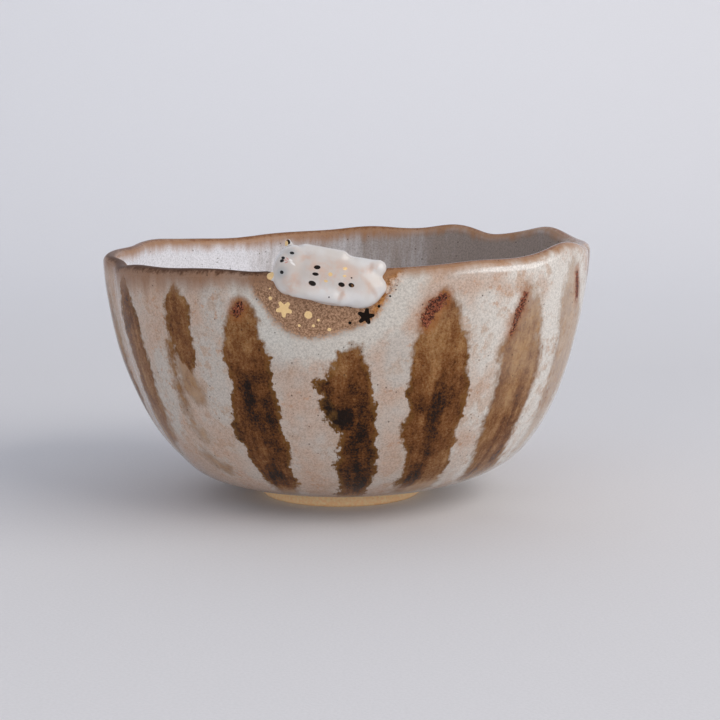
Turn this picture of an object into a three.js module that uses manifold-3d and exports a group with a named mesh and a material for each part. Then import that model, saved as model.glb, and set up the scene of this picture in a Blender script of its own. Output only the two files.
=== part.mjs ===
// A hand-built stoneware tea bowl with a low trimmed foot ring, softly fluted walls and a wavy rim.
// A small white bear lies on its back in a dip in the rim, with its belly towards the front (-Y).
// Millimetres, +Z up. The origin is under the middle of the whole piece, on the surface it stands on.
// Angles are in degrees round +Z from +X, so 270 is the front of the bowl.
import * as THREE from "three";
import { mergeVertices } from "three/addons/utils/BufferGeometryUtils.js";
import Module from "manifold-3d";

const { clamp, degToRad, radToDeg, smoothstep } = THREE.MathUtils;
const wasm = await Module();
wasm.setup();

// The bowl's body
const rimRadius = 60.6;
const rimHeight = 62;
const rimWall = 3.4;
const floorThickness = 4.8;
const outerBelly = { widthPower: 0.72, heightPower: 1.25 };
const innerBelly = { widthPower: 0.48, heightPower: 1.25 };

// The foot ring, trimmed on the underside a little off the bowl's middle
const footRadius = 21;
const footHeight = 4.1;
const footRingWidth = 5;
const footTaper = 0.6;
const footBevel = 0.5;
const footRecess = 3;
const footOffset = -1.7;
const footBlend = 8;

// How the rim rises and falls: the whole rim leans, and each wave is a soft rise at an angle
const rimLean = { at: 20, rise: 1.3 };
const rimWaves = [
  { at: 26, rise: 2.1, spread: 9.5 },
  { at: 46, rise: -0.8, spread: 7 },
  { at: 60, rise: 1.5, spread: 8 },
  { at: 84, rise: 1.0, spread: 9 },
  { at: 124, rise: -0.8, spread: 11 },
  { at: 152, rise: 0.8, spread: 9 },
  { at: 205, rise: -1.2, spread: 8 },
  { at: 225, rise: -0.5, spread: 9 },
  { at: 250, rise: -0.5, spread: 6 },
  { at: 300, rise: 0.6, spread: 10 },
  { at: 329, rise: 2.5, spread: 11 },
];
const waveReach = 43;

// Shallow upright flutes that fingers pressed into the wall, deepest above the belly
const flutes = [
  { at: 46, depth: 2.0, spread: 7 },
  { at: 82, depth: 0.7, spread: 7 },
  { at: 120, depth: 0.9, spread: 8 },
  { at: 165, depth: 1.1, spread: 6 },
  { at: 199, depth: 1.5, spread: 5 },
  { at: 228, depth: 0.5, spread: 7 },
  { at: 312, depth: 0.5, spread: 6 },
  { at: 351, depth: 1.3, spread: 6 },
];
const fluteRun = 33;

// The bear: its own length, how it lies on the rim, and how clear of the bowl it stays
const bearLength = 27.5;
const bearAngle = 266;
const headEndRise = 10.5;
const bellyLift = 28;
const bearSink = 1.3;
const bearOutward = 0.4;
const seatClearance = 0.3;

// The dip in the rim that the bear lies in, before its seat is cut
const dipDepth = 4;
const dipReach = 16;

// How finely the surfaces are faceted
const turns = 88;
const wallSteps = 11;
const lipSteps = 5;
const bearRound = 44;
const bearRings = 38;

// How far one angle is from another, from -180 to 180 degrees.
function turnBetween(angle, at) {
  return ((((angle - at) % 360) + 540) % 360) - 180;
}

// A soft bump of height 1 round an angle.
function bump(angle, { at, spread }) {
  return Math.exp(-((turnBetween(angle, at) / spread) ** 2));
}

// How high the rim stands at an angle, without the dip.
function rimRise(angle) {
  const lean = rimLean.rise * Math.cos(degToRad(angle - rimLean.at));
  return rimWaves.reduce((sum, wave) => sum + wave.rise * bump(angle, wave), lean);
}

// How deep the dip for the bear is at an angle: a cradle with a soft shoulder at each end.
function dip(angle) {
  const across = degToRad(turnBetween(angle, bearAngle)) * rimRadius;
  const share = Math.min(Math.abs(across) / (bearLength / 2), 1);
  return dipDepth * (1 - share ** 4) ** 2;
}

// How deep the flutes are at an angle.
function fluteDepth(angle) {
  return flutes.reduce((sum, flute) => sum + flute.depth * bump(angle, flute), 0);
}

// A belly curve from the foot to the rim: share 0 is its lowest point and 1 its highest.
function bellyPoint(share, belly, low, high) {
  const turn = (share * Math.PI) / 2;
  const wide = Math.sin(turn) ** belly.widthPower;
  const tall = 1 - Math.cos(turn) ** belly.heightPower;
  return new THREE.Vector2(low.x + (high.x - low.x) * wide, low.y + (high.y - low.y) * tall);
}

// The bowl's section, from the axis under the foot, up the outside, over the lip, down to the floor.
function bowlSection() {
  const at = (radius, height) => new THREE.Vector2(radius, height);
  const lipRadius = rimWall / 2;
  const lipMiddle = at(rimRadius - lipRadius, rimHeight - lipRadius);
  const footInner = footRadius - footRingWidth;
  const floorTop = footRecess + floorThickness;
  const shares = Array.from({ length: wallSteps + 1 }, (_, i) => i / wallSteps);
  const foot = [
    at(0, footRecess),
    at(footInner - footTaper, footRecess),
    at(footInner, footBevel),
    at(footInner + footBevel, 0),
    at(footRadius - footTaper - footBevel, 0),
    at(footRadius - footTaper, footBevel),
  ];
  const outerTop = at(rimRadius, lipMiddle.y);
  const outer = shares.map((s) => bellyPoint(s, outerBelly, at(footRadius, footHeight), outerTop));
  const lip = Array.from({ length: lipSteps - 1 }, (_, i) => {
    const turn = (Math.PI * (i + 1)) / lipSteps;
    return at(Math.cos(turn), Math.sin(turn)).multiplyScalar(lipRadius).add(lipMiddle);
  });
  const innerTop = at(rimRadius - rimWall, lipMiddle.y);
  const inner = shares.map((s) => bellyPoint(s, innerBelly, at(0, floorTop), innerTop)).reverse();
  return [...foot, ...outer, ...lip, ...inner];
}

// Moves each point of the turned shape as hands did: flutes in, rim up and down, foot to one side.
function shapeByHand(points) {
  for (let i = 0; i < points.count; i++) {
    const [x, y, z] = [points.getX(i), points.getY(i), points.getZ(i)];
    const angle = radToDeg(Math.atan2(y, x));
    const waving = smoothstep(z, rimHeight - waveReach, rimHeight);
    const dipping = smoothstep(z, rimHeight - dipReach, rimHeight);
    const pressed = smoothstep(z, footHeight, footHeight + fluteRun);
    const trimmed = 1 - smoothstep(z, footHeight, footHeight + footBlend);
    const inwards = 1 - (fluteDepth(angle) * pressed) / rimRadius;
    const lift = rimRise(angle) * waving - dip(angle) * dipping;
    points.setXYZ(i, x * inwards + footOffset * trimmed, y * inwards, z + lift);
  }
}

// A closed geometry with one point at each place, so that its triangles share them.
function mergedShape(geometry) {
  geometry.deleteAttribute("normal");
  geometry.deleteAttribute("uv");
  return mergeVertices(geometry, 1e-4);
}

// A merged geometry as a solid that can be cut.
function solidOf(merged) {
  return new wasm.Manifold(
    new wasm.Mesh({
      numProp: 3,
      vertProperties: merged.attributes.position.array,
      triVerts: new Uint32Array(merged.index.array),
    }),
  );
}

// A solid as a geometry again.
function geometryOf(solid) {
  const { numProp, numVert, vertProperties, triVerts } = solid.getMesh();
  const positions = new Float32Array(numVert * 3);
  for (let i = 0; i < numVert; i++)
    positions.set(vertProperties.subarray(i * numProp, i * numProp + 3), i * 3);
  return new THREE.BufferGeometry()
    .setAttribute("position", new THREE.BufferAttribute(positions, 3))
    .setIndex(new THREE.BufferAttribute(new Uint32Array(triVerts), 1));
}

function bowlSolid() {
  const turned = mergedShape(new THREE.LatheGeometry(bowlSection(), turns));
  turned.rotateX(Math.PI / 2);
  shapeByHand(turned.getAttribute("position"));
  return solidOf(turned);
}

// The bear's own frame: along its body to the head, out of its belly, and across it to the upper side.
// Its middle lies on the middle of the rim's wall.
const up = new THREE.Vector3(0, 0, 1);
const outward = new THREE.Vector3(1, 0, 0).applyAxisAngle(up, degToRad(bearAngle));
const alongRim = new THREE.Vector3().crossVectors(outward, up);
const bearAlong = alongRim.clone().applyAxisAngle(outward, -degToRad(headEndRise));
const bearOut = outward.clone().applyAxisAngle(bearAlong, degToRad(bellyLift));
const bearAcross = new THREE.Vector3().crossVectors(bearAlong, bearOut);
const bearMiddle = outward
  .clone()
  .multiplyScalar(rimRadius - rimWall / 2 + bearOutward)
  .addScaledVector(up, rimHeight + rimRise(bearAngle) - bearSink);

// The bear's forms, in shares of its length. Each place is [along, across, out] of its own frame.
const roundForms = {
  torso: { at: [-0.04, -0.015, 0], half: [0.38, 0.22, 0.155] },
  chest: { at: [0.13, -0.02, 0.015], half: [0.2, 0.195, 0.145] },
  haunches: { at: [-0.27, -0.01, -0.01], half: [0.2, 0.205, 0.15] },
  head: { at: [0.285, -0.02, 0.015], half: [0.145, 0.205, 0.155] },
  muzzle: { at: [0.345, -0.012, 0.12], half: [0.055, 0.06, 0.05] },
  upperEar: { at: [0.352, 0.195, 0.02], half: [0.03, 0.035, 0.028] },
  lowerEar: { at: [0.43, -0.115, 0.025], half: [0.034, 0.03, 0.028] },
};
const limbs = {
  upperArm: { from: [0.2, 0.15, 0.05], to: [-0.09, 0.14, 0.078], thick: 0.055 },
  lowerArm: { from: [0.22, -0.19, 0.04], to: [-0.085, -0.19, 0.062], thick: 0.055 },
  upperLeg: { from: [-0.25, 0.1, 0.04], to: [-0.385, 0.105, 0.075], thick: 0.066 },
  lowerLeg: { from: [-0.16, -0.17, 0.03], to: [-0.415, -0.03, 0.03], thick: 0.064 },
};
const limbBlend = 0.03;

// The stretch of the spine that the skin is drawn in towards, and how often each ray is shortened.
const bearSpine = 0.3;
const raySteps = 60;

// The shorter of two distances, with a soft fillet where they meet.
function softMin(a, b) {
  const mix = Math.max(limbBlend - Math.abs(a - b), 0) / limbBlend;
  return Math.min(a, b) - (mix * mix * limbBlend) / 4;
}

function roundDistance(place, { at, half }) {
  const scaled = Math.hypot(...place.map((v, i) => (v - at[i]) / half[i]));
  const steep = Math.hypot(...place.map((v, i) => (v - at[i]) / half[i] ** 2));
  return steep > 0 ? (scaled * (scaled - 1)) / steep : -Math.min(...half);
}

function limbDistance(place, { from, to, thick }) {
  const run = to.map((v, i) => v - from[i]);
  const reach = run.reduce((sum, v, i) => sum + v * (place[i] - from[i]), 0);
  const share = clamp(reach / run.reduce((sum, v) => sum + v * v, 0), 0, 1);
  return Math.hypot(...place.map((v, i) => v - from[i] - run[i] * share)) - thick;
}

// The distance from a point to the bear's skin. The body bends round the rim that it lies on.
function bearDistance(point) {
  const offset = point.clone().sub(bearMiddle);
  const sideways = offset.dot(alongRim);
  offset.addScaledVector(outward, (sideways * sideways) / (2 * rimRadius));
  const place = [bearAlong, bearAcross, bearOut].map((axis) => offset.dot(axis) / bearLength);
  const distances = [
    ...Object.values(roundForms).map((form) => roundDistance(place, form)),
    ...Object.values(limbs).map((limb) => limbDistance(place, limb)),
  ];
  return distances.reduce(softMin) * bearLength;
}

// The bear, or with a margin the room that it needs: a ball whose points are drawn in along rays
// towards the spine until they meet the skin, so that hands and feet lie closed against the body.
function bearSolid(margin) {
  const ball = mergedShape(new THREE.SphereGeometry(1, bearRound, bearRings));
  const points = ball.getAttribute("position");
  for (let i = 0; i < points.count; i++) {
    const ray = new THREE.Vector3().fromBufferAttribute(points, i);
    const start = bearMiddle.clone().addScaledVector(bearAlong, ray.y * bearSpine * bearLength);
    const direction = new THREE.Vector3()
      .addScaledVector(bearAlong, ray.y)
      .addScaledVector(bearAcross, ray.x)
      .addScaledVector(bearOut, ray.z);
    let far = bearLength / 2;
    for (let step = 0; step < raySteps; step++)
      far -= bearDistance(start.clone().addScaledVector(direction, far)) - margin;
    start.addScaledVector(direction, far);
    points.setXYZ(i, start.x, start.y, start.z);
  }
  return solidOf(ball);
}

const bear = bearSolid(0);
const bowl = bowlSolid().subtract(bearSolid(seatClearance));

// The origin goes under the middle of everything.
const extent = new THREE.Box3();
for (const { min, max } of [bear.boundingBox(), bowl.boundingBox()]) {
  extent.expandByPoint(new THREE.Vector3(...min));
  extent.expandByPoint(new THREE.Vector3(...max));
}
const middle = extent.getCenter(new THREE.Vector3());

function piece(name, solid, colour, roughness) {
  const material = new THREE.MeshStandardMaterial({ color: colour, roughness, metalness: 0 });
  const mesh = new THREE.Mesh(geometryOf(solid), material);
  mesh.name = name;
  mesh.position.set(-middle.x, -middle.y, 0);
  return mesh;
}

const teaBowl = new THREE.Group();
teaBowl.name = "tea_bowl_with_bear";
teaBowl.add(piece("tea_bowl", bowl, 0xb9aca0, 0.3));
teaBowl.add(piece("lying_bear", bear, 0xe4dfd8, 0.2));

export default teaBowl;
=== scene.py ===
import math
import random

import bpy
import numpy as np
from mathutils import Matrix, Vector, noise


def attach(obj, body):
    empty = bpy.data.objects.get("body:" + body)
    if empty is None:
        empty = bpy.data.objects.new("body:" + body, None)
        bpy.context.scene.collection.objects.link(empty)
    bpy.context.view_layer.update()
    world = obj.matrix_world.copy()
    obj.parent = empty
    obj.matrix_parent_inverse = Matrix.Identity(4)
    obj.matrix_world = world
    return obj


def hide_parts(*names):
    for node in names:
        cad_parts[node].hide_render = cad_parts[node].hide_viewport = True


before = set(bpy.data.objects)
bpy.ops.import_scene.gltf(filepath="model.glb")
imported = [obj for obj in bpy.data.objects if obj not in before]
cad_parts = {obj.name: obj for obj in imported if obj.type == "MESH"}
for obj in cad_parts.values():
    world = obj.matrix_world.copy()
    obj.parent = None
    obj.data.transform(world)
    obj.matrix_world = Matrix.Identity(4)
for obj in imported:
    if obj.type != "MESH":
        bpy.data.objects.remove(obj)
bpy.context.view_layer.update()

# The camera
# It looks at the front of the bowl from 43 cm away and a hand's breadth above the table, through a
# long lens, so that the mouth shows as a narrow ellipse and the bear is seen from a little above.
mm = 0.001
foot_offset = -1.7
view_distance = 430
view_height = 93.8
view_side = 3.03
view_pitch = 8
view_lens = 86
film_width = 36
nearest_seen = 0.01
table_contact = 0.01

# The wall's axis is found from the foot ring, which is trimmed off the wall's axis.
cad_points = np.array([v.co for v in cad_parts["tea_bowl"].data.vertices]) / mm
standing = cad_points[cad_points[:, 2] < table_contact]
foot_middle = (standing.min(0) + standing.max(0)) / 2
wall_axis = np.array([foot_middle[0] - foot_offset, foot_middle[1], 0])

bpy.ops.object.camera_add(
    location=Vector(wall_axis + [view_side, -view_distance, view_height]) * mm,
    rotation=(math.radians(90 - view_pitch), 0, 0),
)
camera = bpy.context.object
camera.name = "front_view"
camera.data.lens = view_lens
camera.data.sensor_width = film_width
camera.data.clip_start = nearest_seen
bpy.context.scene.camera = camera

# The tea bowl
# It is buff stoneware, thrown thick, then pressed and scraped by hand, brushed with iron stripes and
# dipped in an off-white glaze that breaks brown on the rim. Only the trimmed foot ring is left bare.
rim_radius = 60.6
rim_height = 62
rim_wall = 3.4
floor_thickness = 4.8
outer_belly = {"width_power": 0.72, "height_power": 1.25}
inner_belly = {"width_power": 0.48, "height_power": 1.25}

# The foot ring, which tapers and has a small bevel on both edges of its flat
foot_radius = 21
foot_height = 4.1
foot_ring_width = 5
foot_taper = 0.6
foot_bevel = 0.5
foot_recess = 3
foot_blend = 8

# How the rim rises and falls: the whole rim leans, and each wave is a soft rise at an angle
rim_lean = {"at": 20, "rise": 1.3}
rim_waves = [
    {"at": 26, "rise": 2.1, "spread": 9.5},
    {"at": 46, "rise": -0.8, "spread": 7},
    {"at": 60, "rise": 1.5, "spread": 8},
    {"at": 84, "rise": 1.0, "spread": 9},
    {"at": 124, "rise": -0.8, "spread": 11},
    {"at": 152, "rise": 0.8, "spread": 9},
    {"at": 205, "rise": -1.2, "spread": 8},
    {"at": 225, "rise": -0.5, "spread": 9},
    {"at": 250, "rise": -0.5, "spread": 6},
    {"at": 300, "rise": 0.6, "spread": 10},
    {"at": 329, "rise": 2.5, "spread": 11},
]
wave_reach = 43

# The flutes pressed into the wall, each at an angle
flutes = [
    {"at": 46, "depth": 2.0, "spread": 7},
    {"at": 82, "depth": 0.7, "spread": 7},
    {"at": 120, "depth": 0.9, "spread": 8},
    {"at": 165, "depth": 1.1, "spread": 6},
    {"at": 199, "depth": 1.5, "spread": 5},
    {"at": 228, "depth": 0.5, "spread": 7},
    {"at": 312, "depth": 0.5, "spread": 6},
    {"at": 351, "depth": 1.3, "spread": 6},
]
flute_run = 33

# The dip in the rim that the bear lies in
bear_length = 27.5
bear_angle = 266
dip_depth = 4
dip_reach = 16

# Where the glaze ends above the foot, and how unevenly the hand left the wall
glaze_line = 2.9
glaze_edge = 0.3
glaze_step = 0.22
hand_unevenness = 0.22
unevenness_size = 14
uneven_from = 6
uneven_full = 12
least_radius = 10

# How fine the mesh is, with the rows closer together by the foot
turns = 440
outer_steps = 78
inner_steps = 52
lip_steps = 14
foot_crowding = 1.3


def turn_between(angle, at):
    return (angle - at + 540) % 360 - 180


def bump(angle, at, spread):
    return np.exp(-((turn_between(angle, at) / spread) ** 2))


def smoothstep(value, low, high):
    share = np.clip((value - low) / (high - low), 0, 1)
    return share * share * (3 - 2 * share)


def belly_curve(belly, low, high, steps):
    """Points from the foot to the rim, closer together near the foot where the curve turns."""
    turn = (np.arange(steps + 1) / steps) ** foot_crowding * math.pi / 2
    wide = np.sin(turn) ** belly["width_power"]
    tall = 1 - np.abs(np.cos(turn)) ** belly["height_power"]
    return [(low[0] + (high[0] - low[0]) * w, low[1] + (high[1] - low[1]) * t) for w, t in zip(wide, tall)]


lip_radius = rim_wall / 2
lip_middle = (rim_radius - lip_radius, rim_height - lip_radius)
foot_inner = foot_radius - foot_ring_width
ring_middle = foot_radius - foot_ring_width / 2

# The corners of the underside from the axis outwards, each with the number of steps to the next
foot_corners = [
    ((0, foot_recess), 9),
    ((foot_inner - foot_taper, foot_recess), 4),
    ((foot_inner, foot_bevel), 2),
    ((foot_inner + foot_bevel, 0), 5),
    ((foot_radius - foot_taper - foot_bevel, 0), 2),
    ((foot_radius - foot_taper, foot_bevel), 10),
    ((foot_radius, foot_height), 0),
]
foot_part = []
for (start, steps), (end, _) in zip(foot_corners, foot_corners[1:]):
    foot_part += [tuple(np.add(start, np.subtract(end, start) * i / steps)) for i in range(steps)]
outer_top = (rim_radius, lip_middle[1])
inner_top = (rim_radius - rim_wall, lip_middle[1])
outer_part = belly_curve(outer_belly, (foot_radius, foot_height), outer_top, outer_steps)
lip_turns = [math.pi * i / lip_steps for i in range(1, lip_steps)]
lip_part = [np.add(lip_middle, (lip_radius * math.cos(t), lip_radius * math.sin(t))) for t in lip_turns]
inner_part = belly_curve(inner_belly, (0, foot_recess + floor_thickness), inner_top, inner_steps)[::-1]
section = np.array(foot_part + outer_part + lip_part + inner_part)

# One point is drawn along the section and the line that it leaves is spun round the axis.
bpy.ops.object.select_all(action="DESELECT")
bpy.ops.mesh.primitive_plane_add(size=mm)
bowl = bpy.context.object
bowl.name = "glazed_tea_bowl"
bpy.ops.object.mode_set(mode="EDIT")
bpy.ops.mesh.merge(type="CENTER")
bpy.ops.transform.translate(value=(section[0][0] * mm, 0, section[0][1] * mm))
for start, end in zip(section, section[1:]):
    step = (end - start) * mm
    bpy.ops.mesh.extrude_region_move(TRANSFORM_OT_translate={"value": (step[0], 0, step[1])})
bpy.ops.mesh.select_all(action="SELECT")
bpy.ops.mesh.spin(steps=turns, angle=math.tau, center=(0, 0, 0), axis=(0, 0, 1))
bpy.ops.mesh.select_all(action="SELECT")
bpy.ops.mesh.remove_doubles(threshold=0.01 * mm)
bpy.ops.mesh.normals_make_consistent(inside=False)
bpy.ops.mesh.faces_shade_smooth()
bpy.ops.object.mode_set(mode="OBJECT")


def read_points(piece):
    points = np.empty(len(piece.data.vertices) * 3)
    piece.data.vertices.foreach_get("co", points)
    return points.reshape(-1, 3) / mm


def write_points(piece, points):
    piece.data.vertices.foreach_set("co", (points * mm).ravel())
    piece.data.update()


def write_attribute(piece, name, values):
    """Keeps one number or one vector for each point, for the material to read."""
    kind, field = ("FLOAT", "value") if values.ndim == 1 else ("FLOAT_VECTOR", "vector")
    piece.data.attributes.new(name, kind, "POINT").data.foreach_set(field, values.astype(np.float32).ravel())


# Where each point lies on the section: how far from the top of the lip, positive on the outside.
even = read_points(bowl)
radius, height = np.hypot(even[:, 0], even[:, 1]), even[:, 2].copy()
angle = np.degrees(np.arctan2(even[:, 1], even[:, 0]))
nearest = np.argmin(
    np.abs(radius[:, None] - section[:, 0]) + np.abs(height[:, None] - section[:, 1]), axis=1
)
steps_along = np.hypot(*np.diff(section, axis=0).T)
along = np.concatenate([[0], np.cumsum(steps_along)])
lip_top = len(foot_part) + len(outer_part) + lip_steps // 2 - 1
from_lip = (along[lip_top] - along)[nearest]

# The hands' work: flutes pressed in, the rim drawn up and down, the foot trimmed to one side.
rise = rim_lean["rise"] * np.cos(np.radians(angle - rim_lean["at"]))
rise = rise + sum(wave["rise"] * bump(angle, wave["at"], wave["spread"]) for wave in rim_waves)
from_bear = np.abs(np.radians(turn_between(angle, bear_angle))) * rim_radius
dip_share = np.minimum(from_bear / (bear_length / 2), 1)
dip = dip_depth * (1 - dip_share**4) ** 2
fluting = sum(flute["depth"] * bump(angle, flute["at"], flute["spread"]) for flute in flutes)
waving = smoothstep(height, rim_height - wave_reach, rim_height)
dipping = smoothstep(height, rim_height - dip_reach, rim_height)
pressed = smoothstep(height, foot_height, foot_height + flute_run)
trimmed = 1 - smoothstep(height, foot_height, foot_height + foot_blend)
uneven = np.array([noise.noise(Vector(p) / unevenness_size) for p in even]) * hand_unevenness
glazed = smoothstep(height, glaze_line - glaze_edge, glaze_line + glaze_edge) * (radius > ring_middle)
swell = uneven * smoothstep(height, uneven_from, uneven_full)
swell = swell - glaze_step * (1 - glazed) * (height < foot_height)
inwards = 1 - fluting * pressed / rim_radius + swell / np.maximum(radius, least_radius)
shaped = even.copy()
shaped[:, 0] = even[:, 0] * inwards + foot_offset * trimmed
shaped[:, 1] = even[:, 1] * inwards
shaped[:, 2] = height + rise * waving - dip * dipping
write_points(bowl, shaped + wall_axis)

# The stripes, each a brush's path down the wall: height on the even wall, angle, half width, strength.
stripes = [
    [(57, 210.7, 1.6, 0.66), (50, 211.3, 3.3, 0.66), (42, 212, 3.6, 0.6), (34, 212.2, 3.4, 0.55),
     (26, 211, 3.5, 0.45), (20, 209, 3.4, 0.4), (14, 206.6, 1.4, 0.3)],
    [(56.5, 230.1, 1.2, 0.55), (53, 230, 3.3, 0.62), (47, 230.2, 3.3, 0.65), (43, 230.6, 3.0, 0.6),
     (39.5, 231, 1.8, 0.6)],
    [(48, 232.4, 0.9, 0.7), (39.8, 232.6, 0.9, 0.75)],
    [(44, 226.3, 0.9, 0.5), (38, 225.9, 0.7, 0.45), (30, 225.7, 0.5, 0.4), (22.5, 225.6, 0.5, 0.3)],
    [(38.5, 229.2, 1.8, 0.34), (34, 229.8, 2.4, 0.36), (31.5, 231.4, 1.6, 0.32)],
    [(23.2, 225.5, 0.8, 0.25), (21, 228.5, 1.6, 0.28)],
    [(15.8, 225.5, 1.0, 0.3), (12.5, 230, 1.8, 0.35)],
    [(54.6, 247, 1.6, 0.45), (51.5, 247.2, 3.1, 0.48), (47, 247, 4.1, 0.54), (42, 247.3, 4.9, 0.64),
     (38, 248.4, 4.3, 0.72), (32, 247.9, 5.1, 0.78), (27, 248.2, 5.0, 0.78), (23, 247.4, 6.0, 0.78),
     (20, 248.4, 5.2, 0.74), (16, 248.3, 4.6, 0.66), (12, 248.8, 3.9, 0.7), (9, 250, 2.6, 0.5),
     (7, 250.6, 1.5, 0.3)],
    [(43, 271.8, 1.4, 0.5), (40, 270.9, 3.7, 0.6), (36, 270.6, 4.6, 0.7), (32, 271.3, 4.4, 0.75),
     (28, 271.5, 4.8, 0.9), (25, 273.4, 3.5, 0.75), (20, 272.9, 4.2, 0.85), (15, 272.5, 4.1, 0.92),
     (10, 272.9, 3.3, 0.95), (7, 273.2, 2.4, 0.6), (5.5, 273.3, 1.2, 0.3)],
    [(36, 264.2, 1.0, 0.75), (35, 266.5, 1.6, 0.8)],
    [(31.5, 265.5, 0.9, 0.8), (28.3, 265.8, 1.0, 0.9), (27.5, 269, 2.6, 1.1)],
    [(54.4, 291, 1.5, 0.45), (51, 290.9, 4.0, 0.45), (47, 290.8, 4.8, 0.48), (43, 291.2, 6.0, 0.52),
     (39, 291.4, 6.6, 0.58), (34, 291.8, 7.0, 0.68), (29, 292, 6.3, 0.68), (25, 291.4, 6.2, 0.6),
     (20, 292.8, 5.3, 0.6), (15, 293.4, 5.0, 0.6), (11.5, 292.5, 4.6, 0.6), (9, 294.5, 4.6, 0.35)],
    [(14, 290.5, 2.6, 0.65), (11, 290, 2.8, 0.7)],
    [(53.5, 313.8, 1.5, 0.3), (50, 314, 3.4, 0.35), (45, 314.1, 4.8, 0.39), (41, 313.2, 5.6, 0.4),
     (37, 314.6, 6.7, 0.4), (33, 314.6, 6.6, 0.44), (29, 313.6, 5.7, 0.44), (25, 313.9, 5.9, 0.5),
     (21, 313.9, 5.2, 0.5), (17, 315, 5.1, 0.5), (13, 316.6, 5.0, 0.5), (10, 318, 4, 0.42)],
    [(55, 331, 2.6, 0.26), (50, 331.8, 5.0, 0.3), (44, 334, 6.0, 0.3), (38, 335, 5.9, 0.3),
     (32, 334.6, 4.3, 0.3), (26, 333.8, 3.2, 0.3), (20, 332.9, 2.4, 0.26), (15, 332.2, 1.6, 0.22)],
]

# Round the back the brush went on in the same way, one stripe about every 21 degrees.
back_stripes = 10
back_from, back_to = -7, 190
back_steps = 8
hand = random.Random(11)
for i in range(back_stripes):
    middle = back_from + (back_to - back_from) * i / (back_stripes - 1) + hand.uniform(-3, 3)
    widest = hand.uniform(3.4, 6.4)
    top, bottom = hand.uniform(51, 57), hand.uniform(7, 15)
    dark = hand.uniform(0.55, 0.9)
    path = []
    for k in range(back_steps + 1):
        share = k / back_steps
        level = top + (bottom - top) * share
        wide = widest * (0.35 + 0.65 * math.sin(math.pi * min(1, 0.2 + share * 0.85)) ** 0.5)
        path.append((level, middle + hand.uniform(-1.2, 1.2), wide, dark * (0.65 + 0.4 * share)))
    stripes.append(path)

# Darker stains in the stripes, where a drop of iron ran.
stains = [
    [(31.5, 265.5, 0.9, 1), (28.3, 266.2, 1.4, 1), (27.3, 267.4, 2.6, 1), (28.6, 270.4, 1.4, 1)],
    [(25.5, 273.4, 1.4, 1), (23, 273.6, 1.0, 1)],
    [(31, 291.6, 2.4, 1), (25, 291.3, 1.8, 1), (17, 292.2, 1.2, 1)],
    [(15, 290.4, 1.7, 1), (10, 289.6, 2.0, 1)],
    [(31, 317, 1.0, 1), (22, 317.4, 1.1, 1), (13, 319.2, 0.9, 1)],
    [(36, 247.2, 1.4, 1), (28, 246.6, 1.4, 1)],
    [(14, 247.6, 1.8, 1), (10, 248.6, 1.6, 1)],
]

# Where the dip ran twice the white lies thick, mostly beside the stripes.
thick_glaze = [
    [(51, 253.5, 2.6, 1), (44, 255, 3.2, 1)],
    [(56, 240.5, 2.4, 1), (50, 241, 2.4, 1)],
    [(46, 237.5, 2.2, 1), (38, 238.6, 3.2, 1), (28, 238, 2.6, 1)],
    [(40, 222, 2.0, 1), (30, 220, 2.4, 1), (22, 218, 2.0, 1)],
    [(45, 281.5, 2.6, 1), (38, 281.8, 2.4, 1)],
    [(52, 301.5, 2.6, 1), (40, 302.5, 2.0, 1)],
    [(50, 323.5, 2.6, 1), (30, 324.5, 2.6, 1), (14, 327, 2.4, 1)],
]

# Where iron lay thickest it boiled into a red-brown crust.
crusts = [
    [(54.9, 290.9, 1.1, 1), (53.2, 288.8, 1.7, 1), (50.8, 287.4, 1.5, 1), (49.2, 287, 0.9, 1)],
    [(53.8, 312.6, 0.8, 1), (50, 311.2, 1.1, 1), (45.4, 309.4, 0.6, 1)],
    [(54.2, 247.1, 1.2, 1), (52.9, 246.2, 1.2, 1)],
    [(54.8, 333.6, 0.9, 1), (50, 335.2, 1.0, 1)],
]
far_off = -100.0


def painted(path, angle, level, radius):
    """How far inside a brushed path each point is, in millimetres, and the brush's strength there."""
    inside, strength = np.full(len(angle), far_off), np.zeros(len(angle))
    for (level_a, at_a, half_a, strong_a), (level_b, at_b, half_b, strong_b) in zip(path, path[1:]):
        across = np.radians(turn_between(angle, at_a)) * radius
        run = np.radians(turn_between(at_b, at_a)) * radius
        drop = level_b - level_a
        share = np.clip((across * run + (level - level_a) * drop) / (run**2 + drop**2), 0, 1)
        away = np.hypot(across - run * share, level - level_a - drop * share)
        depth = half_a + (half_b - half_a) * share - away
        closer = depth > inside
        inside = np.where(closer, depth, inside)
        strength = np.where(closer, strong_a + (strong_b - strong_a) * share, strength)
    return inside, strength


outer_rows = np.arange(len(foot_part), len(foot_part) + len(outer_part))
lip_distance = along[lip_top] - along


def down_the_wall(path):
    """The path with each height turned into the distance from the lip, measured over the surface."""
    levels = [np.interp(p[0], section[outer_rows, 1], lip_distance[outer_rows]) for p in path]
    return [(level, *p[1:]) for level, p in zip(levels, path)]


def painted_all(paths):
    depths, strengths = zip(*(painted(down_the_wall(p), angle, from_lip, radius) for p in paths))
    best = np.argmax(depths, axis=0)
    pick = np.arange(len(angle))
    return np.array(depths)[best, pick], np.array(strengths)[best, pick]


stripe_depth, stripe_strength = painted_all(stripes)
stain_depth, _ = painted_all(stains)
thick_depth, _ = painted_all(thick_glaze)
crust_depth, _ = painted_all(crusts)

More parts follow.
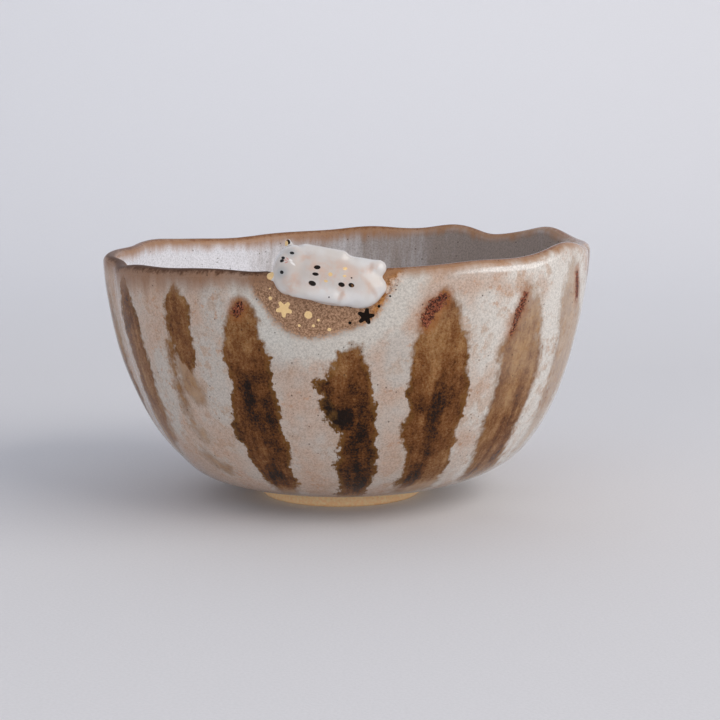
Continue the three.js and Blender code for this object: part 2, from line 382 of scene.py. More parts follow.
# Round the bear the white glaze was wiped away, which leaves a crescent of speckled brown.
crescent = [(63, 251.5, 3.5, 1), (60.5, 258.6, 9.5, 1), (57.8, 262.8, 11.4, 1), (59.5, 268.6, 11.2, 1),
            (63, 273.6, 8.6, 1)]
crescent_over_lip = 1.5
crescent_depth, _ = painted(crescent, angle, shaped[:, 2], radius)
crescent_depth = np.where(from_lip > -crescent_over_lip, crescent_depth, far_off)
wet_end = [(49.5, 276.5, 2.5, 1), (53, 279, 3, 1), (58, 282.5, 4, 1), (61.5, 287, 3, 1)]
wet_depth, _ = painted(wet_end, angle, shaped[:, 2], radius)

# Where the bear's foot touches the wall its own white glaze ran out over the brown.
run_out = [(56.4, 278.2, 0.5, 1), (58.4, 279.8, 0.9, 1), (60, 281.6, 0.8, 1)]
run_out_depth, _ = painted(run_out, angle, shaped[:, 2], radius)


def around(knots):
    """A value for every point, from a few given as angle: value."""
    return np.interp(angle % 360, list(knots), list(knots.values()))


# How wide the glaze broke brown below the lip, outside and inside: a hair on the right of the front,
# a broad zone on the left.
break_knots = {0: 2.0, 40: 2, 90: 2.4, 150: 2.4, 190: 4, 205: 6.5, 225: 7.5, 245: 5.5, 262: 4.5,
               284: 3.2, 300: 2.6, 325: 2.6, 360: 2.0}
inner_knots = {0: 2.6, 60: 3.2, 88: 4.8, 130: 4.4, 170: 4, 200: 5, 300: 4, 360: 2.6}
break_width = np.where(from_lip < 0, around(inner_knots), around(break_knots))
rim_break = 1 - np.abs(from_lip) / break_width

# Under the brown lip on the right the glaze gathered into a thick white roll, and a white line is painted
# there: part pooled glaze, part painted highlight.
highlight_roll_angle, highlight_roll_spread, highlight_roll_place, highlight_roll_width = 309, 17, 3.1, 0.7
roll_and_painted_highlight = bump(angle, highlight_roll_angle, highlight_roll_spread) * np.exp(-(((from_lip - highlight_roll_place) / highlight_roll_width) ** 2))

# What changes round the bowl, each as angle: share. The lip is darkest on the left of the front, the
# glaze lies thinner and pinker there than on the right, and inside, painted shade greys the wall towards the
# right.
tone_knots = {0: 0.3, 150: 0.4, 195: 0.9, 262: 1, 280: 0.45, 320: 0.25, 360: 0.3}
thin_knots = {0: -0.2, 90: 0, 190: 0.06, 262: 0.05, 287: 0.06, 303: -0.05, 325: -0.2, 360: -0.2}
inside_shade_knots = {0: 0.9, 50: 0.95, 88: 0.65, 112: 0.42, 132: 0.06, 165: 0.0, 215: 0.1, 300: 0.6, 360: 0.9}

# The bare clay ends at the glaze line, but the foot's inside and flat are bare all over.
clay = np.where((height < foot_height) & (from_lip > 0), glaze_line - height, far_off)
clay = np.where((radius < ring_middle) & (height < foot_height), glaze_line, clay)

# A place on the unrolled wall, for what runs down it
flow = np.stack([np.cos(np.radians(angle)), np.sin(np.radians(angle)), from_lip / rim_radius], 1)

kept_values = {
    "stripe_depth": stripe_depth,
    "stripe_strength": stripe_strength,
    "stain_depth": stain_depth,
    "thick_depth": thick_depth,
    "crust_depth": crust_depth,
    "crescent_depth": crescent_depth,
    "wet_depth": wet_depth,
    "run_out_depth": run_out_depth,
    "rim_break": rim_break,
    "roll_and_painted_highlight": roll_and_painted_highlight,
    "rim_tone": around(tone_knots),
    "thin_glaze": around(thin_knots),
    "inside_painted_shade": around(inside_shade_knots),
    "from_lip": from_lip,
    "clay_depth": clay,
    "flow": flow * rim_radius * mm,
}
for name, values in kept_values.items():
    write_attribute(bowl, name, values)


def linear(colour):
    """An sRGB hex colour as the linear values that a shader takes."""
    parts = [int(colour[i : i + 2], 16) / 255 for i in (1, 3, 5)]
    return (*[c / 12.92 if c <= 0.04045 else ((c + 0.055) / 1.055) ** 2.4 for c in parts], 1)


def add_node(kind, inputs=(), output=0, **settings):
    """Adds a node to the tree with its settings, feeds its sockets and returns one of its outputs."""
    new = tree.nodes.new("ShaderNode" + kind)
    for name, value in settings.items():
        setattr(new, name, value)
    for socket, value in dict(inputs).items():
        if isinstance(value, bpy.types.NodeSocket):
            tree.links.new(value, new.inputs[socket])
        else:
            new.inputs[socket].default_value = value
    return new.outputs[output] if new.outputs else new


def new_material(name):
    material = bpy.data.materials.new(name)
    material.use_nodes = True
    material.node_tree.nodes.clear()
    return material


def masked(value, low, high, *unevenness):
    """0 under low and 1 over high, softly, with the value moved about by noises of given strengths."""
    for texture, strength in unevenness:
        value = add_node("Math", {0: texture, 1: strength, 2: value}, operation="MULTIPLY_ADD")
    shift = sum(strength for _, strength in unevenness) / 2
    inputs = {"Value": value, "From Min": low + shift, "From Max": high + shift}
    return add_node("MapRange", inputs, interpolation_type="SMOOTHSTEP")


def laid_over(under, over, share, amount=1.0):
    """One colour over another, where and as far as the share says."""
    under, over = (linear(c) if isinstance(c, str) else c for c in (under, over))
    share = add_node("Math", {0: share, 1: amount}, operation="MULTIPLY")
    return add_node("Mix", {0: share, 6: under, 7: over}, output=2, data_type="RGBA")


# The glaze is a satin tin-white over iron-bearing clay: fine salt-and-pepper grain, pink and tan
# clouds where it lies thin, brown stripes that melted through it, and gold lustre fired on last.
glaze = new_material("satin_white_glaze_on_stoneware")
tree = glaze.node_tree
place = add_node("TexCoord", output="Object")
flow_at = add_node("Attribute", output="Vector", attribute_name="flow")
downwards = add_node("Mapping", {"Vector": flow_at, "Scale": (1, 1, 0.2)})
partly_down = add_node("Mapping", {"Vector": flow_at, "Scale": (1, 1, 0.4)})
single_values = [name for name in kept_values if name != "flow"]
(
    stripe, strength, stain, thick, crust, bare, wet, run_out_at,
    breaking, roll_and_highlight, tone, thinner, inside_shade_at, lip, clay_at,
) = (add_node("Attribute", output="Fac", attribute_name=name) for name in single_values)

# Each noise as where it lies, the size of its features in millimetres, detail and roughness. The real
# salt-and-pepper grain is about 0.2 mm, too fine to show, so "fine" is drawn at twice that.
noises = {
    "fine": (place, 0.46, 4, 0.85),
    "small": (place, 0.7, 2, 0.6),
    "fleck": (place, 1.5, 4, 0.65),
    "nub": (place, 2.4, 1, 0.5),
    "patch": (place, 3.2, 4, 0.6),
    "mottle": (place, 3.4, 5, 0.65),
    "wander": (place, 4.5, 2, 0.5),
    "cloud": (place, 9, 3, 0.5),
    "zone": (place, 13, 1, 0.5),
    "streak": (downwards, 1.9, 4, 0.6),
    "broad_streak": (downwards, 5, 3, 0.5),
    "hair": (partly_down, 0.7, 3, 0.7),
}
fine, small, fleck, nub, patch, mottle, wander, cloud, zone, streak, broad_streak, hair = (
    add_node("TexNoise", {"Vector": where, "Scale": 1 / (size * mm), "Detail": detail, "Roughness": rough})
    for where, size, detail, rough in noises.values()
)

# The white ground, pink and tan where it is thin, with painted shade greying the inside towards the right
inside = masked(lip, -1, -3)
outside = masked(lip, -3, -1)
colour = laid_over("#d8d4ce", "#b9b0a8", masked(thinner, -0.12, 0.07), 0.8)
colour = laid_over(colour, "#e9eaf0", inside)
open_ground = masked(stripe, 2, -3.5, (mottle, 12))
open_ground = add_node("Math", {0: open_ground, 1: outside}, operation="MULTIPLY")
pink = masked(add_node("Math", {0: cloud, 1: thinner}, operation="ADD"), 0.25, 0.6, (mottle, 0.3))
pink = add_node("Math", {0: open_ground, 1: pink}, operation="MULTIPLY")
pink = add_node("Math", {0: pink, 1: masked(thick, 0.5, -2.5, (mottle, 5))}, operation="MULTIPLY")
colour = laid_over(colour, "#bfa695", pink, 0.9)
tan = add_node("Math", {0: masked(mottle, 0.49, 0.6), 1: masked(zone, 0.38, 0.58)}, operation="MULTIPLY")
tan = add_node("Math", {0: tan, 1: outside}, operation="MULTIPLY")
colour = laid_over(colour, "#b3937a", tan, 0.55)
orange = add_node("Math", {0: masked(fleck, 0.54, 0.64), 1: masked(cloud, 0.46, 0.6)}, operation="MULTIPLY")
orange = add_node("Math", {0: orange, 1: outside}, operation="MULTIPLY")
colour = laid_over(colour, "#b27c50", orange, 0.45)
# Painted shade: the inside wall that faces away from the window is greyed, streaked down the wall
inside_shade = masked(inside_shade_at, 0.1, 0.9, (streak, 0.5), (broad_streak, 0.5))
inside_shade = add_node("Math", {0: inside_shade, 1: masked(lip, -52, -20)}, operation="MULTIPLY")
inside_shade = add_node("Math", {0: inside_shade, 1: inside}, operation="MULTIPLY")
colour = laid_over(colour, "#89796d", inside_shade, 0.9)
colour = laid_over(colour, "#cdcbc5", masked(bare, -8, -4, (mottle, 7)), 0.85)

# The stripes, ragged at the edge, soft where they are weak and darker where more iron lay
edge_noises = ((fleck, 1.9), (wander, 4), (hair, 1.6), (small, 0.9))
edge_middle = sum(reach for _, reach in edge_noises) / 2
nubs = add_node("Math", {0: nub, 1: 0.58}, operation="SUBTRACT", use_clamp=True)
ragged = add_node("Math", {0: nubs, 1: 5, 2: stripe}, operation="MULTIPLY_ADD")
for texture, reach in edge_noises:
    ragged = add_node("Math", {0: texture, 1: reach, 2: ragged}, operation="MULTIPLY_ADD")
ragged = add_node("Math", {0: ragged, 1: edge_middle}, operation="SUBTRACT")
softness = masked(strength, 0.75, 0.25)
soft_start = add_node("Math", {0: softness, 1: -1.6, 2: -0.85}, operation="MULTIPLY_ADD")
soft_end = add_node("Math", {0: softness, 1: 1.6, 2: -0.3}, operation="MULTIPLY_ADD")
inputs = {"Value": ragged, "From Min": soft_start, "From Max": soft_end}
covered = add_node("MapRange", inputs, interpolation_type="SMOOTHSTEP")
opacity = add_node("Math", {0: covered, 1: masked(strength, 0.0, 0.5)}, operation="MULTIPLY")
stained = masked(stain, -1.4, 1.2, (fleck, 3), (streak, 2))
deep = add_node("Math", {0: stained, 1: 0.24, 2: strength}, operation="MULTIPLY_ADD")
depth_noises = ((streak, 0.6), (broad_streak, 0.6), (patch, 0.7), (fine, 1.6), (small, 0.4))
depth_middle = 1.97
for texture, reach in depth_noises:
    deep = add_node("Math", {0: texture, 1: reach, 2: deep}, operation="MULTIPLY_ADD")
deep = add_node("Math", {0: deep, 1: depth_middle}, operation="SUBTRACT")
brown = add_node("ValToRGB", {"Fac": deep})
ramp = brown.node.color_ramp
ramp.elements[0].position, ramp.elements[0].color = 0.15, linear("#b08a60")
ramp.elements[1].position, ramp.elements[1].color = 1.0, linear("#1a0c04")
for position, shade in ((0.38, "#936b42"), (0.58, "#784a25"), (0.76, "#5b3511"), (0.9, "#3f210a")):
    ramp.elements.new(position).color = linear(shade)
colour = laid_over(colour, laid_over(brown, "#7a5526", masked(ragged, 1.0, -0.4), 0.6), opacity)

# The wiped crescent, speckled, with an orange wet end where the bear's glaze ran out over it
speckled = laid_over("#84634a", "#b59175", masked(fine, 0.38, 0.62))
wet_brown = laid_over("#85501f", "#b98248", masked(small, 0.35, 0.65))
speckled = laid_over(speckled, wet_brown, masked(wet, -1.5, 1, (fleck, 2)))
colour = laid_over(colour, speckled, masked(bare, -1.2, 0.8, (fleck, 2.4), (fine, 4)))
colour = laid_over(colour, "#dcd4cc", masked(run_out_at, -0.3, 0.5, (fleck, 3), (small, 2)), 0.6)

# The rim, where the glaze ran thin and broke to brown
thin_brown = laid_over("#b07f52", "#98745c", tone)
thin_brown = laid_over(thin_brown, "#b6845a", inside)
thin_brown = laid_over(thin_brown, "#6a472d", masked(fine, 0.47, 0.6), 0.7)
colour = laid_over(colour, thin_brown, masked(breaking, -0.25, 0.6, (broad_streak, 1.1), (streak, 0.5)), 0.85)
lip_brown = laid_over("#9a6238", "#42240f", tone)
lip_brown = laid_over(lip_brown, "#4d2c16", masked(fine, 0.5, 0.64), 0.6)
colour = laid_over(colour, lip_brown, masked(breaking, 0.62, 0.86, (streak, 0.4), (small, 0.4)), 0.9)
# A white line under the lip on the right: partly the thick roll of glaze, partly a painted highlight
colour = laid_over(colour, "#f3efea", masked(roll_and_highlight, 0.25, 0.8, (streak, 0.5)), 0.8)

# Crust, specks and grain, with painted highlights on the crust's crystals
burnt = masked(crust, -2.2, 0.2, (mottle, 3))
colour = laid_over(colour, "#9c5c2c", burnt, 0.5)
crusted = masked(crust, -0.2, 0.3, (small, 2.5))
# The crust's lighter flecks are painted highlights on its crystals; the dark pits are its own colour
crust_colour_and_glints = laid_over("#8c4a32", "#b87252", masked(small, 0.48, 0.62), 0.8)
crust_colour_and_glints = laid_over(crust_colour_and_glints, "#220d07", masked(fine, 0.47, 0.54))
colour = laid_over(colour, crust_colour_and_glints, crusted)
speck_cells = add_node("TexVoronoi", {"Vector": place, "Scale": 1 / (1.9 * mm)})
cell_number = add_node("SeparateColor", {"Color": speck_cells.node.outputs["Color"]})
specks = masked(speck_cells, 0.13, 0.07)
specks = add_node("Math", {0: specks, 1: masked(cell_number, 0.6, 0.62)}, operation="MULTIPLY")
colour = laid_over(colour, "#3f2a1e", specks, 0.75)
inputs = {"Value": fine, "From Min": 0.4, "From Max": 0.57, "To Min": 0.78, "To Max": 1.1}
pepper = add_node("MapRange", inputs)
pepper = add_node("CombineColor", {0: pepper, 1: pepper, 2: pepper})
colour = add_node("Mix", {0: 1.0, 6: colour, 7: pepper}, output=2, data_type="RGBA", blend_type="MULTIPLY")

# The bare foot, sandy and unglazed
unglazed = masked(clay_at, -0.05, 0.12, (wander, 1.6))
clay_colour = laid_over("#fbcf9c", "#ffe4ba", masked(small, 0.3, 0.7))
colour = laid_over(colour, clay_colour, unglazed)

# Gold lustre: two stars and a scatter of dots, each painted flat on the wall. The right-hand star
# and the dots near it are painted near black, a painted dark reflection in the gold.
gold_marks = [(51.6, 262.2, 0.86), (55.1, 254.2, 0.4), (50.5, 264.3, 0.3), (49.2, 263.2, 0.34),
              (49.2, 260.2, 0.32), (48.4, 266.5, 0.42), (57.2, 254.2, 0.18)]
reflection_dark_marks = [(49.9, 270.8, 0.36), (53.5, 276.8, 0.34), (53.4, 274.1, 0.25), (55.7, 279.1, 0.24),
              (53.4, 271.0, 0.2), (57.1, 280.3, 0.14)]
gold_star = (52.8, 257.1, 32)
reflection_dark_star = (51.3, 274.1, -10)
star_arms = 5
star_arm = 1.5
star_middle_half_width = 0.78
star_taper = 0.24
mark_reach = 2.0
ray_start = 0.2
lustre_share = 0.45


def on_the_wall(level, at):
    """The place on the wall's outside at a height and angle, and which way the wall faces there."""
    outwards = Vector((math.cos(math.radians(at)), math.sin(math.radians(at)), 0))
    start = Vector(wall_axis) * mm + Vector((0, 0, level * mm)) + outwards * ray_start
    _, spot, normal, _ = bowl.ray_cast(start, -outwards)
    return spot, normal


def dots(marks):
    """1 inside any of the marks, given as height, angle and radius."""
    found = 0.0
    for level, at, size in marks:
        spot, _ = on_the_wall(level, at)
        away = add_node("VectorMath", {0: place, 1: spot}, "Value", operation="DISTANCE")
        dot = add_node("Math", {0: away, 1: size * mm}, operation="LESS_THAN")
        found = add_node("Math", {0: found, 1: dot}, operation="MAXIMUM")
    return found


def star(level, at, tilt):
    """1 inside a star with five round arms that lies on the wall."""
    spot, normal = on_the_wall(level, at)
    sideways = Vector((0, 0, 1)).cross(normal).normalized()
    facing = Matrix((sideways, normal.cross(sideways), normal)).transposed()
    turned = (facing @ Matrix.Rotation(math.radians(tilt), 3, "Z")).to_euler()
    inputs = {"Vector": place, "Location": spot, "Rotation": turned, "Scale": (mm, mm, mm)}
    flat = add_node("Mapping", inputs, vector_type="TEXTURE")
    right, upwards, out = add_node("SeparateXYZ", {"Vector": flat}).node.outputs
    level_place = add_node("CombineXYZ", {"X": right, "Y": upwards})
    far = add_node("VectorMath", {0: level_place}, "Value", operation="LENGTH")
    arm_turn = math.tau / star_arms
    heading = add_node("Math", {0: right, 1: upwards}, operation="ARCTAN2")
    heading = add_node("Math", {0: heading, 1: math.tau + arm_turn / 2}, operation="ADD")
    folded = add_node("Math", {0: heading, 1: arm_turn}, operation="MODULO")
    folded = add_node("Math", {0: folded, 1: arm_turn / 2}, operation="SUBTRACT")
    cosine = add_node("Math", {0: folded}, operation="COSINE")
    sine = add_node("Math", {0: folded}, operation="SINE")
    run = add_node("Math", {0: cosine, 1: far}, operation="MULTIPLY")
    off = add_node("Math", {0: sine, 1: far}, operation="MULTIPLY")
    held = add_node("Clamp", {"Value": run, "Min": 0.0, "Max": star_arm})
    past = add_node("Math", {0: run, 1: held}, operation="SUBTRACT")
    beside = add_node("CombineXYZ", {"X": past, "Y": off})
    away = add_node("VectorMath", {0: beside}, "Value", operation="LENGTH")
    inputs = {0: held, 1: -star_taper, 2: star_middle_half_width}
    half_width = add_node("Math", inputs, operation="MULTIPLY_ADD")
    drawn = add_node("Math", {0: away, 1: half_width}, operation="LESS_THAN")
    on_this_wall = add_node("Math", {0: out, 1: 0.0, 2: mark_reach}, operation="COMPARE")
    return add_node("Math", {0: drawn, 1: on_this_wall}, operation="MULTIPLY")


golden = add_node("Math", {0: dots(gold_marks), 1: star(*gold_star)}, operation="MAXIMUM")
dark_reflection = add_node("Math", {0: dots(reflection_dark_marks), 1: star(*reflection_dark_star)}, operation="MAXIMUM")
colour = laid_over(colour, "#ffdba0", golden)
# The near-black marks are a painted dark reflection in the gold lustre
colour = laid_over(colour, "#1a110a", dark_reflection)
lustre = add_node("Math", {0: golden, 1: dark_reflection}, operation="MAXIMUM")
lustre = add_node("Math", {0: lustre, 1: lustre_share}, operation="MULTIPLY")

# Gloss and relief: satin glaze with a faint orange peel, grainy crust, dry clay
rough = add_node("Math", {0: small, 1: 0.12, 2: 0.06}, operation="MULTIPLY_ADD")
dry_lip = add_node("Math", {0: masked(breaking, 0.3, 0.8), 1: tone}, operation="MULTIPLY")
for where, least in ((crusted, 0.5), (unglazed, 0.85), (lustre, 0.45), (dry_lip, 0.55)):
    rougher = add_node("Math", {0: where, 1: least}, operation="MULTIPLY")
    rough = add_node("Math", {0: rough, 1: rougher}, operation="MAXIMUM")
peel = add_node("Math", {0: nub, 1: 0.06}, operation="MULTIPLY")
crumbs = add_node("Math", {0: crusted, 1: small}, operation="MULTIPLY")
sand = add_node("Math", {0: unglazed, 1: small}, operation="MULTIPLY")
for texture, tall in ((fine, 0.02), (crumbs, 0.25), (sand, 0.1)):
    peel = add_node("Math", {0: texture, 1: tall, 2: peel}, operation="MULTIPLY_ADD")
relief = add_node("Bump", {"Strength": 1.0, "Distance": mm, "Height": peel})
surface = add_node("BsdfPrincipled", {
    "Base Color": colour,
    "Roughness": rough,
    "Metallic": lustre,
    "IOR": 1.5,
    "Specular IOR Level": 0.18,
    "Normal": relief,
})
add_node("OutputMaterial", {"Surface": surface})

bowl.data.materials.append(glaze)
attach(bowl, "root")
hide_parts("tea_bowl")

# The lying bear
# It is a figure of white clay about as long as a thumb joint, modelled by itself, laid on its back in
# the dip of the rim and fused there by its glossy glaze. Its face, ears and belly spots are painted on.
head_end_rise = 10.5
belly_lift = 28
bear_sink = 1.3
bear_outward = 0.4

# The body's forms in shares of its length, each place as along to the head, across and out of the belly
round_forms = {
    "torso": {"at": (-0.04, -0.015, 0), "half": (0.38, 0.22, 0.155)},
    "chest": {"at": (0.13, -0.02, 0.015), "half": (0.2, 0.195, 0.145)},
    "haunches": {"at": (-0.27, -0.01, -0.01), "half": (0.2, 0.205, 0.15)},
    "head": {"at": (0.285, -0.02, 0.015), "half": (0.145, 0.205, 0.155)},
    "muzzle": {"at": (0.345, -0.012, 0.12), "half": (0.055, 0.06, 0.05)},
    "upper_ear": {"at": (0.352, 0.195, 0.02), "half": (0.03, 0.035, 0.028)},
    "lower_ear": {"at": (0.43, -0.115, 0.025), "half": (0.034, 0.03, 0.028)},
}
limbs = {
    "upper_arm": {"from": (0.2, 0.15, 0.05), "to": (-0.09, 0.14, 0.078), "thick": 0.055},
    "lower_arm": {"from": (0.22, -0.19, 0.04), "to": (-0.085, -0.19, 0.062), "thick": 0.055},
    "upper_leg": {"from": (-0.25, 0.1, 0.04), "to": (-0.385, 0.105, 0.075), "thick": 0.066},
    "lower_leg": {"from": (-0.16, -0.17, 0.03), "to": (-0.415, -0.03, 0.03), "thick": 0.064},
}
limb_blend = 0.03

# How the bear's skin is found: rays from a spine as long as this share of the bear, drawn in by steps
bear_spine = 0.3
ray_steps = 70
ball_segments = 168
ball_rings = 120
side_line = -0.02

bear_turn = math.radians(bear_angle)
outward = np.array([math.cos(bear_turn), math.sin(bear_turn), 0])
along_rim = np.cross(outward, (0, 0, 1))
bear_along = np.array(Matrix.Rotation(-math.radians(head_end_rise), 3, Vector(outward)) @ Vector(along_rim))
bear_out = np.array(Matrix.Rotation(math.radians(belly_lift), 3, Vector(bear_along)) @ Vector(outward))
bear_across = np.cross(bear_along, bear_out)
rim_at_bear = rim_lean["rise"] * math.cos(math.radians(bear_angle - rim_lean["at"]))
rim_at_bear += sum(wave["rise"] * bump(bear_angle, wave["at"], wave["spread"]) for wave in rim_waves)
bear_middle = outward * (rim_radius - rim_wall / 2 + bear_outward)
bear_middle = bear_middle + np.array([0, 0, rim_height + rim_at_bear - bear_sink]) + wall_axis


def soft_min(a, b):
    mix = np.maximum(limb_blend - np.abs(a - b), 0) / limb_blend
    return np.minimum(a, b) - mix * mix * limb_blend / 4


def bear_distance(points):
    """How far points are outside the bear's skin, in millimetres. The body bends round the rim."""
    offset = points - bear_middle
    offset = offset + outward * ((offset @ along_rim) ** 2 / (2 * rim_radius))[:, None]
    where = offset @ np.stack([bear_along, bear_across, bear_out], 1) / bear_length
    distances = []
    for form in round_forms.values():
        scaled = np.linalg.norm((where - form["at"]) / form["half"], axis=1)
        steep = np.linalg.norm((where - form["at"]) / np.square(form["half"]), axis=1)
        distances.append(scaled * (scaled - 1) / np.maximum(steep, 1e-9))
    for limb in limbs.values():
        run = np.subtract(limb["to"], limb["from"])
        share = np.clip((where - limb["from"]) @ run / (run @ run), 0, 1)[:, None]
        distances.append(np.linalg.norm(where - limb["from"] - run * share, axis=1) - limb["thick"])
    skin = distances[0]
    for other in distances[1:]:
        skin = soft_min(skin, other)
    return skin * bear_length


bpy.ops.object.select_all(action="DESELECT")
bpy.ops.mesh.primitive_uv_sphere_add(segments=ball_segments, ring_count=ball_rings, radius=mm)
bear = bpy.context.object
bear.name = "white_glazed_bear"
bpy.ops.object.mode_set(mode="EDIT")
bpy.ops.mesh.normals_make_consistent(inside=False)
bpy.ops.mesh.faces_shade_smooth()
bpy.ops.object.mode_set(mode="OBJECT")

# The ball's points are drawn in along rays towards the spine until they meet the skin.
ball = read_points(bear)
rays = ball[:, 2:] * bear_along + ball[:, :1] * bear_across - ball[:, 1:2] * bear_out
starts = bear_middle + ball[:, 2:] * bear_along * bear_spine * bear_length
far = np.full(len(ball), bear_length / 2)
for _ in range(ray_steps):
    far -= bear_distance(starts + rays * far[:, None])
write_points(bear, starts + rays * far[:, None])

# Each point's place along the body and across it. The third number keeps marks off the back side.
skin = read_points(bear) - bear_middle
skin = skin + outward * ((skin @ along_rim) ** 2 / (2 * rim_radius))[:, None]
belly = skin @ np.stack([bear_along, bear_across, bear_out], 1)
belly[:, 2] = np.where(belly[:, 2] > side_line * bear_length, 0, -far_off)
write_attribute(bear, "belly_place", belly * mm)

# The glaze is glossy and white, flushed pink on the cheeks and belly where it lies thin.
porcelain = new_material("glossy_clear_glaze_on_white_clay")
tree = porcelain.node_tree
place = add_node("TexCoord", output="Object")
belly_at = add_node("Attribute", output="Vector", attribute_name="belly_place")


def marked(places, soft):
    """1 inside any oval mark, given as along, across, half length, half width and tilt."""
    found = 0.0
    for along_body, across_body, half_long, half_wide, tilt in places:
        inputs = {
            "Vector": belly_at,
            "Location": (along_body * bear_length * mm, across_body * bear_length * mm, 0),
            "Rotation": (0, 0, math.radians(tilt)),
            "Scale": (half_long * mm, half_wide * mm, mm),
        }
        in_mark = add_node("Mapping", inputs, vector_type="TEXTURE")
        away = add_node("VectorMath", {0: in_mark}, "Value", operation="LENGTH")
        found = add_node("Math", {0: found, 1: masked(away, 1 + soft, 1 - soft)}, operation="MAXIMUM")
    return found


noises = {"fine": (0.5, 2, 0.5), "small": (1.6, 2, 0.5), "smear": (3.2, 4, 0.6), "cloud": (6, 2, 0.5)}
fine, small, smear, cloud = (
    add_node("TexNoise", {"Vector": place, "Scale": 1 / (size * mm), "Detail": detail, "Roughness": rough})
    for size, detail, rough in noises.values()
)
colour = laid_over("#dcdcdd", "#d2cdc9", masked(cloud, 0.35, 0.65))
belly_and_face = [(-0.1, -0.03, 8.6, 3.3, 2), (0.27, -0.02, 3.4, 4.6, 0), (0.1, -0.01, 5, 3.4, 0)]
colour = laid_over(colour, "#bfb5ae", marked(belly_and_face, 0.35), 0.65)
flushes = [(0.21, 0.06, 2.6, 2.2, 0), (0.245, -0.16, 1.8, 2.4, 0), (-0.05, -0.05, 6.5, 3.6, 0),
           (-0.33, 0.0, 2.2, 3.0, 30), (-0.345, -0.075, 2.0, 0.9, 40), (-0.16, -0.17, 0.7, 1.5, 20)]
flush = add_node("Math", {0: marked(flushes, 0.6), 1: masked(smear, 0.4, 0.62)}, operation="MULTIPLY")
colour = laid_over(colour, "#cfa993", flush, 0.55)
# Painted shade round the eyes, in their sockets
eye_socket_shade = [(0.293, 0.065, 1.2, 1.1, 0), (0.34, -0.106, 1.2, 1.1, 0)]
colour = laid_over(colour, "#a3aeb4", marked(eye_socket_shade, 0.6), 0.45)
mouth = [(0.318, 0.004, 0.42, 0.13, 30), (0.33, -0.012, 0.4, 0.12, -5), (0.318, -0.028, 0.42, 0.13, -35)]
colour = laid_over(colour, "#bd7268", marked(mouth, 0.3), 0.75)
# A painted highlight on the muzzle
painted_muzzle_highlights = [(0.288, -0.004, 0.42, 0.24, 20), (0.268, -0.026, 0.62, 0.22, 25)]
colour = laid_over(colour, "#f4f2f2", marked(painted_muzzle_highlights, 0.5), 0.85)
# Painted shade in the creases where the limbs meet the body
crease_shade = [(-0.15, -0.185, 0.4, 0.95, 15), (-0.35, -0.068, 2.1, 0.5, 38), (-0.335, 0.075, 0.5, 1.1, 0)]
colour = laid_over(colour, "#b08a72", marked(crease_shade, 0.9), 0.45)
eyes_and_nose = [(0.293, 0.065, 0.5, 0.4, 0), (0.34, -0.106, 0.46, 0.34, 30),
                 (0.352, 0.004, 0.42, 0.36, 30), (0.356, -0.022, 0.46, 0.36, -20)]
colour = laid_over(colour, "#0d0c0d", marked(eyes_and_nose, 0.1))

# Belly spots of lustre, the larger ones painted near black as a painted dark reflection, with painted
# gold-brown glints in places
reflection_dark_spots = [(0.075, -0.013, 0.72, 0.48, -12), (0.077, -0.07, 0.7, 0.36, -5),
              (0.088, -0.141, 0.82, 0.48, 5), (-0.137, -0.108, 0.7, 0.46, 0),
              (-0.212, -0.096, 0.64, 0.44, 5), (-0.203, -0.041, 0.2, 0.16, 0),
              (-0.061, -0.219, 0.16, 0.14, 0), (0.356, 0.198, 0.7, 0.5, 60)]
gold_spots = [(-0.037, -0.048, 0.46, 0.44, 0), (-0.013, -0.105, 0.42, 0.26, 0),
              (-0.139, 0.025, 0.46, 0.36, -25), (-0.147, -0.038, 0.4, 0.24, -10),
              (0.37, 0.185, 0.7, 0.45, 60), (0.44, -0.115, 0.95, 0.95, 0)]
dark_reflection = marked(reflection_dark_spots, 0.08)
golden = marked(gold_spots, 0.08)
# Painted reflection: the dark spots stand for gold reflecting a dark room, with painted gold-brown glints
painted_glint = add_node("Math", {0: dark_reflection, 1: masked(small, 0.52, 0.62)}, operation="MULTIPLY")
colour = laid_over(colour, "#1a110a", dark_reflection)
colour = laid_over(colour, "#8a5f38", painted_glint, 0.8)
colour = laid_over(colour, "#ffdba0", golden)
lustre = add_node("Math", {0: golden, 1: dark_reflection}, operation="MAXIMUM")
lustre = add_node("Math", {0: lustre, 1: lustre_share}, operation="MULTIPLY")
rough = add_node("Math", {0: fine, 1: 0.08, 2: 0.16}, operation="MULTIPLY_ADD")
peel = add_node("Math", {0: small, 1: 0.05}, operation="MULTIPLY")
relief = add_node("Bump", {"Strength": 1.0, "Distance": mm, "Height": peel})
surface = add_node("BsdfPrincipled", {
    "Base Color": colour,
    "Roughness": rough,
    "Metallic": lustre,
    "IOR": 1.5,
    "Normal": relief,
})
add_node("OutputMaterial", {"Surface": surface})

bear.data.materials.append(porcelain)
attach(bear, "root")
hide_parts("lying_bear")

# The table and backdrop
# One sheet of pale grey paper that lies on the table and sweeps up behind.
paper_half_width = 2
paper_half_depth = 1.2
paper_height = 2
paper_bend = 0.7
bend_steps = 24

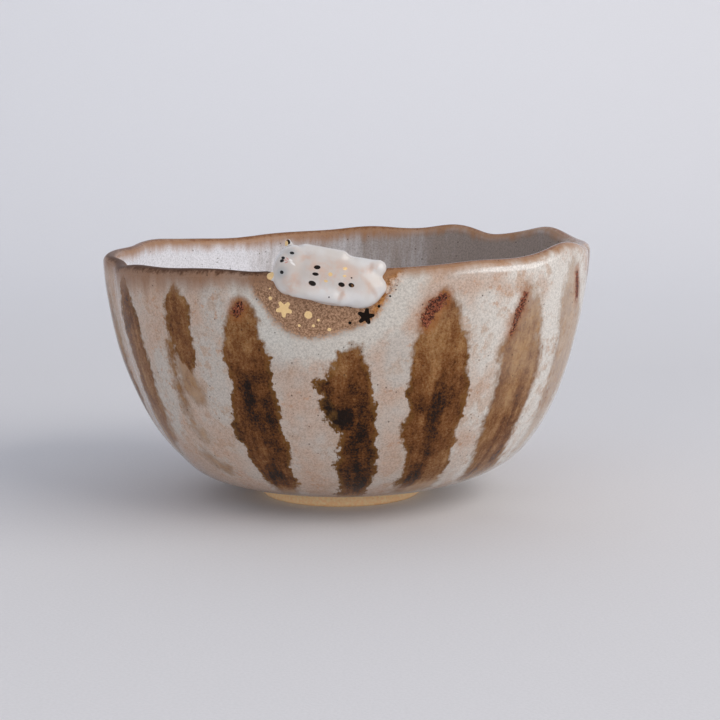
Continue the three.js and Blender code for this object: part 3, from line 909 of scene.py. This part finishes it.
bpy.ops.object.select_all(action="DESELECT")
bpy.ops.mesh.primitive_plane_add(size=2, location=(0, 0, 0))
paper = bpy.context.object
paper.name = "paper_sweep"
paper.data.transform(Matrix.Diagonal((paper_half_width, paper_half_depth, 1, 1)))
bpy.ops.object.mode_set(mode="EDIT")
bpy.ops.mesh.select_all(action="DESELECT")
bpy.ops.object.mode_set(mode="OBJECT")
for edge_line in paper.data.edges:
    edge_line.select = all(paper.data.vertices[v].co.y > 0 for v in edge_line.vertices)
bpy.ops.object.mode_set(mode="EDIT")
bpy.ops.mesh.select_mode(type="EDGE")
bpy.ops.mesh.extrude_region_move(TRANSFORM_OT_translate={"value": (0, 0, paper_height)})
bpy.ops.object.mode_set(mode="OBJECT")
for edge_line in paper.data.edges:
    ends = [paper.data.vertices[v].co for v in edge_line.vertices]
    edge_line.select = all(end.y > 0 and end.z < paper_height / 2 for end in ends)
bpy.ops.object.mode_set(mode="EDIT")
bpy.ops.mesh.bevel(offset=paper_bend, segments=bend_steps, affect="EDGES")
bpy.ops.mesh.select_all(action="SELECT")
bpy.ops.mesh.faces_shade_smooth()
bpy.ops.object.mode_set(mode="OBJECT")
card = new_material("matt_grey_card")
tree = card.node_tree
place = add_node("TexCoord", output="Object")
tooth = add_node("TexNoise", {"Vector": place, "Scale": 1 / (0.6 * mm), "Detail": 3})
colour = laid_over("#e1e2e6", "#e5e6ea", masked(tooth, 0.3, 0.7))
relief = add_node("Bump", {"Strength": 0.3, "Distance": 0.1 * mm, "Height": tooth})
surface = add_node("BsdfPrincipled", {"Base Color": colour, "Roughness": 0.9, "Normal": relief})
add_node("OutputMaterial", {"Surface": surface})
paper.data.materials.append(card)

# The light
# A big soft window low on the right, a soft ceiling, a weak lamp low on the left, one on the backdrop
# and the room's own pale grey.
room_grey = "#c0c3cb"
room_light = 0.82
lamps = {
    "window": {
        "at": (1.3, -0.65, 0.85), "aim": (0, 0, 0.03),
        "size": 1.5, "power": 18, "colour": "#fff6ec",
    },
    "ceiling": {
        "at": (0.1, 0.3, 1.5), "aim": (0, 0, 0),
        "size": 1.4, "power": 0.6, "colour": "#f4f6ff",
    },
    "fill": {
        "at": (-0.5, -0.9, 0.12), "aim": (0, 0, 0.02),
        "size": 0.6, "power": 2.9, "colour": "#fff4e8",
    },
    "backdrop": {
        "at": (-0.1, 0.5, 1.0), "aim": (-0.1, 2.2, 0.5),
        "size": 0.8, "power": 2.2, "colour": "#f6f8ff",
    },
}
for name, lamp in lamps.items():
    spot = Vector(lamp["at"])
    aim = (Vector(lamp["aim"]) - spot).to_track_quat("-Z", "Y").to_euler()
    bpy.ops.object.light_add(type="AREA", location=spot, rotation=aim)
    light = bpy.context.object
    light.name = name
    light.data.shape = "SQUARE"
    light.data.size = lamp["size"]
    light.data.energy = lamp["power"]
    light.data.color = linear(lamp["colour"])[:3]
    light.visible_glossy = name != "fill"
world = bpy.data.worlds.new("room")
world.use_nodes = True
air = world.node_tree.nodes["Background"]
air.inputs["Color"].default_value = linear(room_grey)
air.inputs["Strength"].default_value = room_light
bpy.context.scene.world = world
bpy.context.scene.view_settings.view_transform = "Standard"
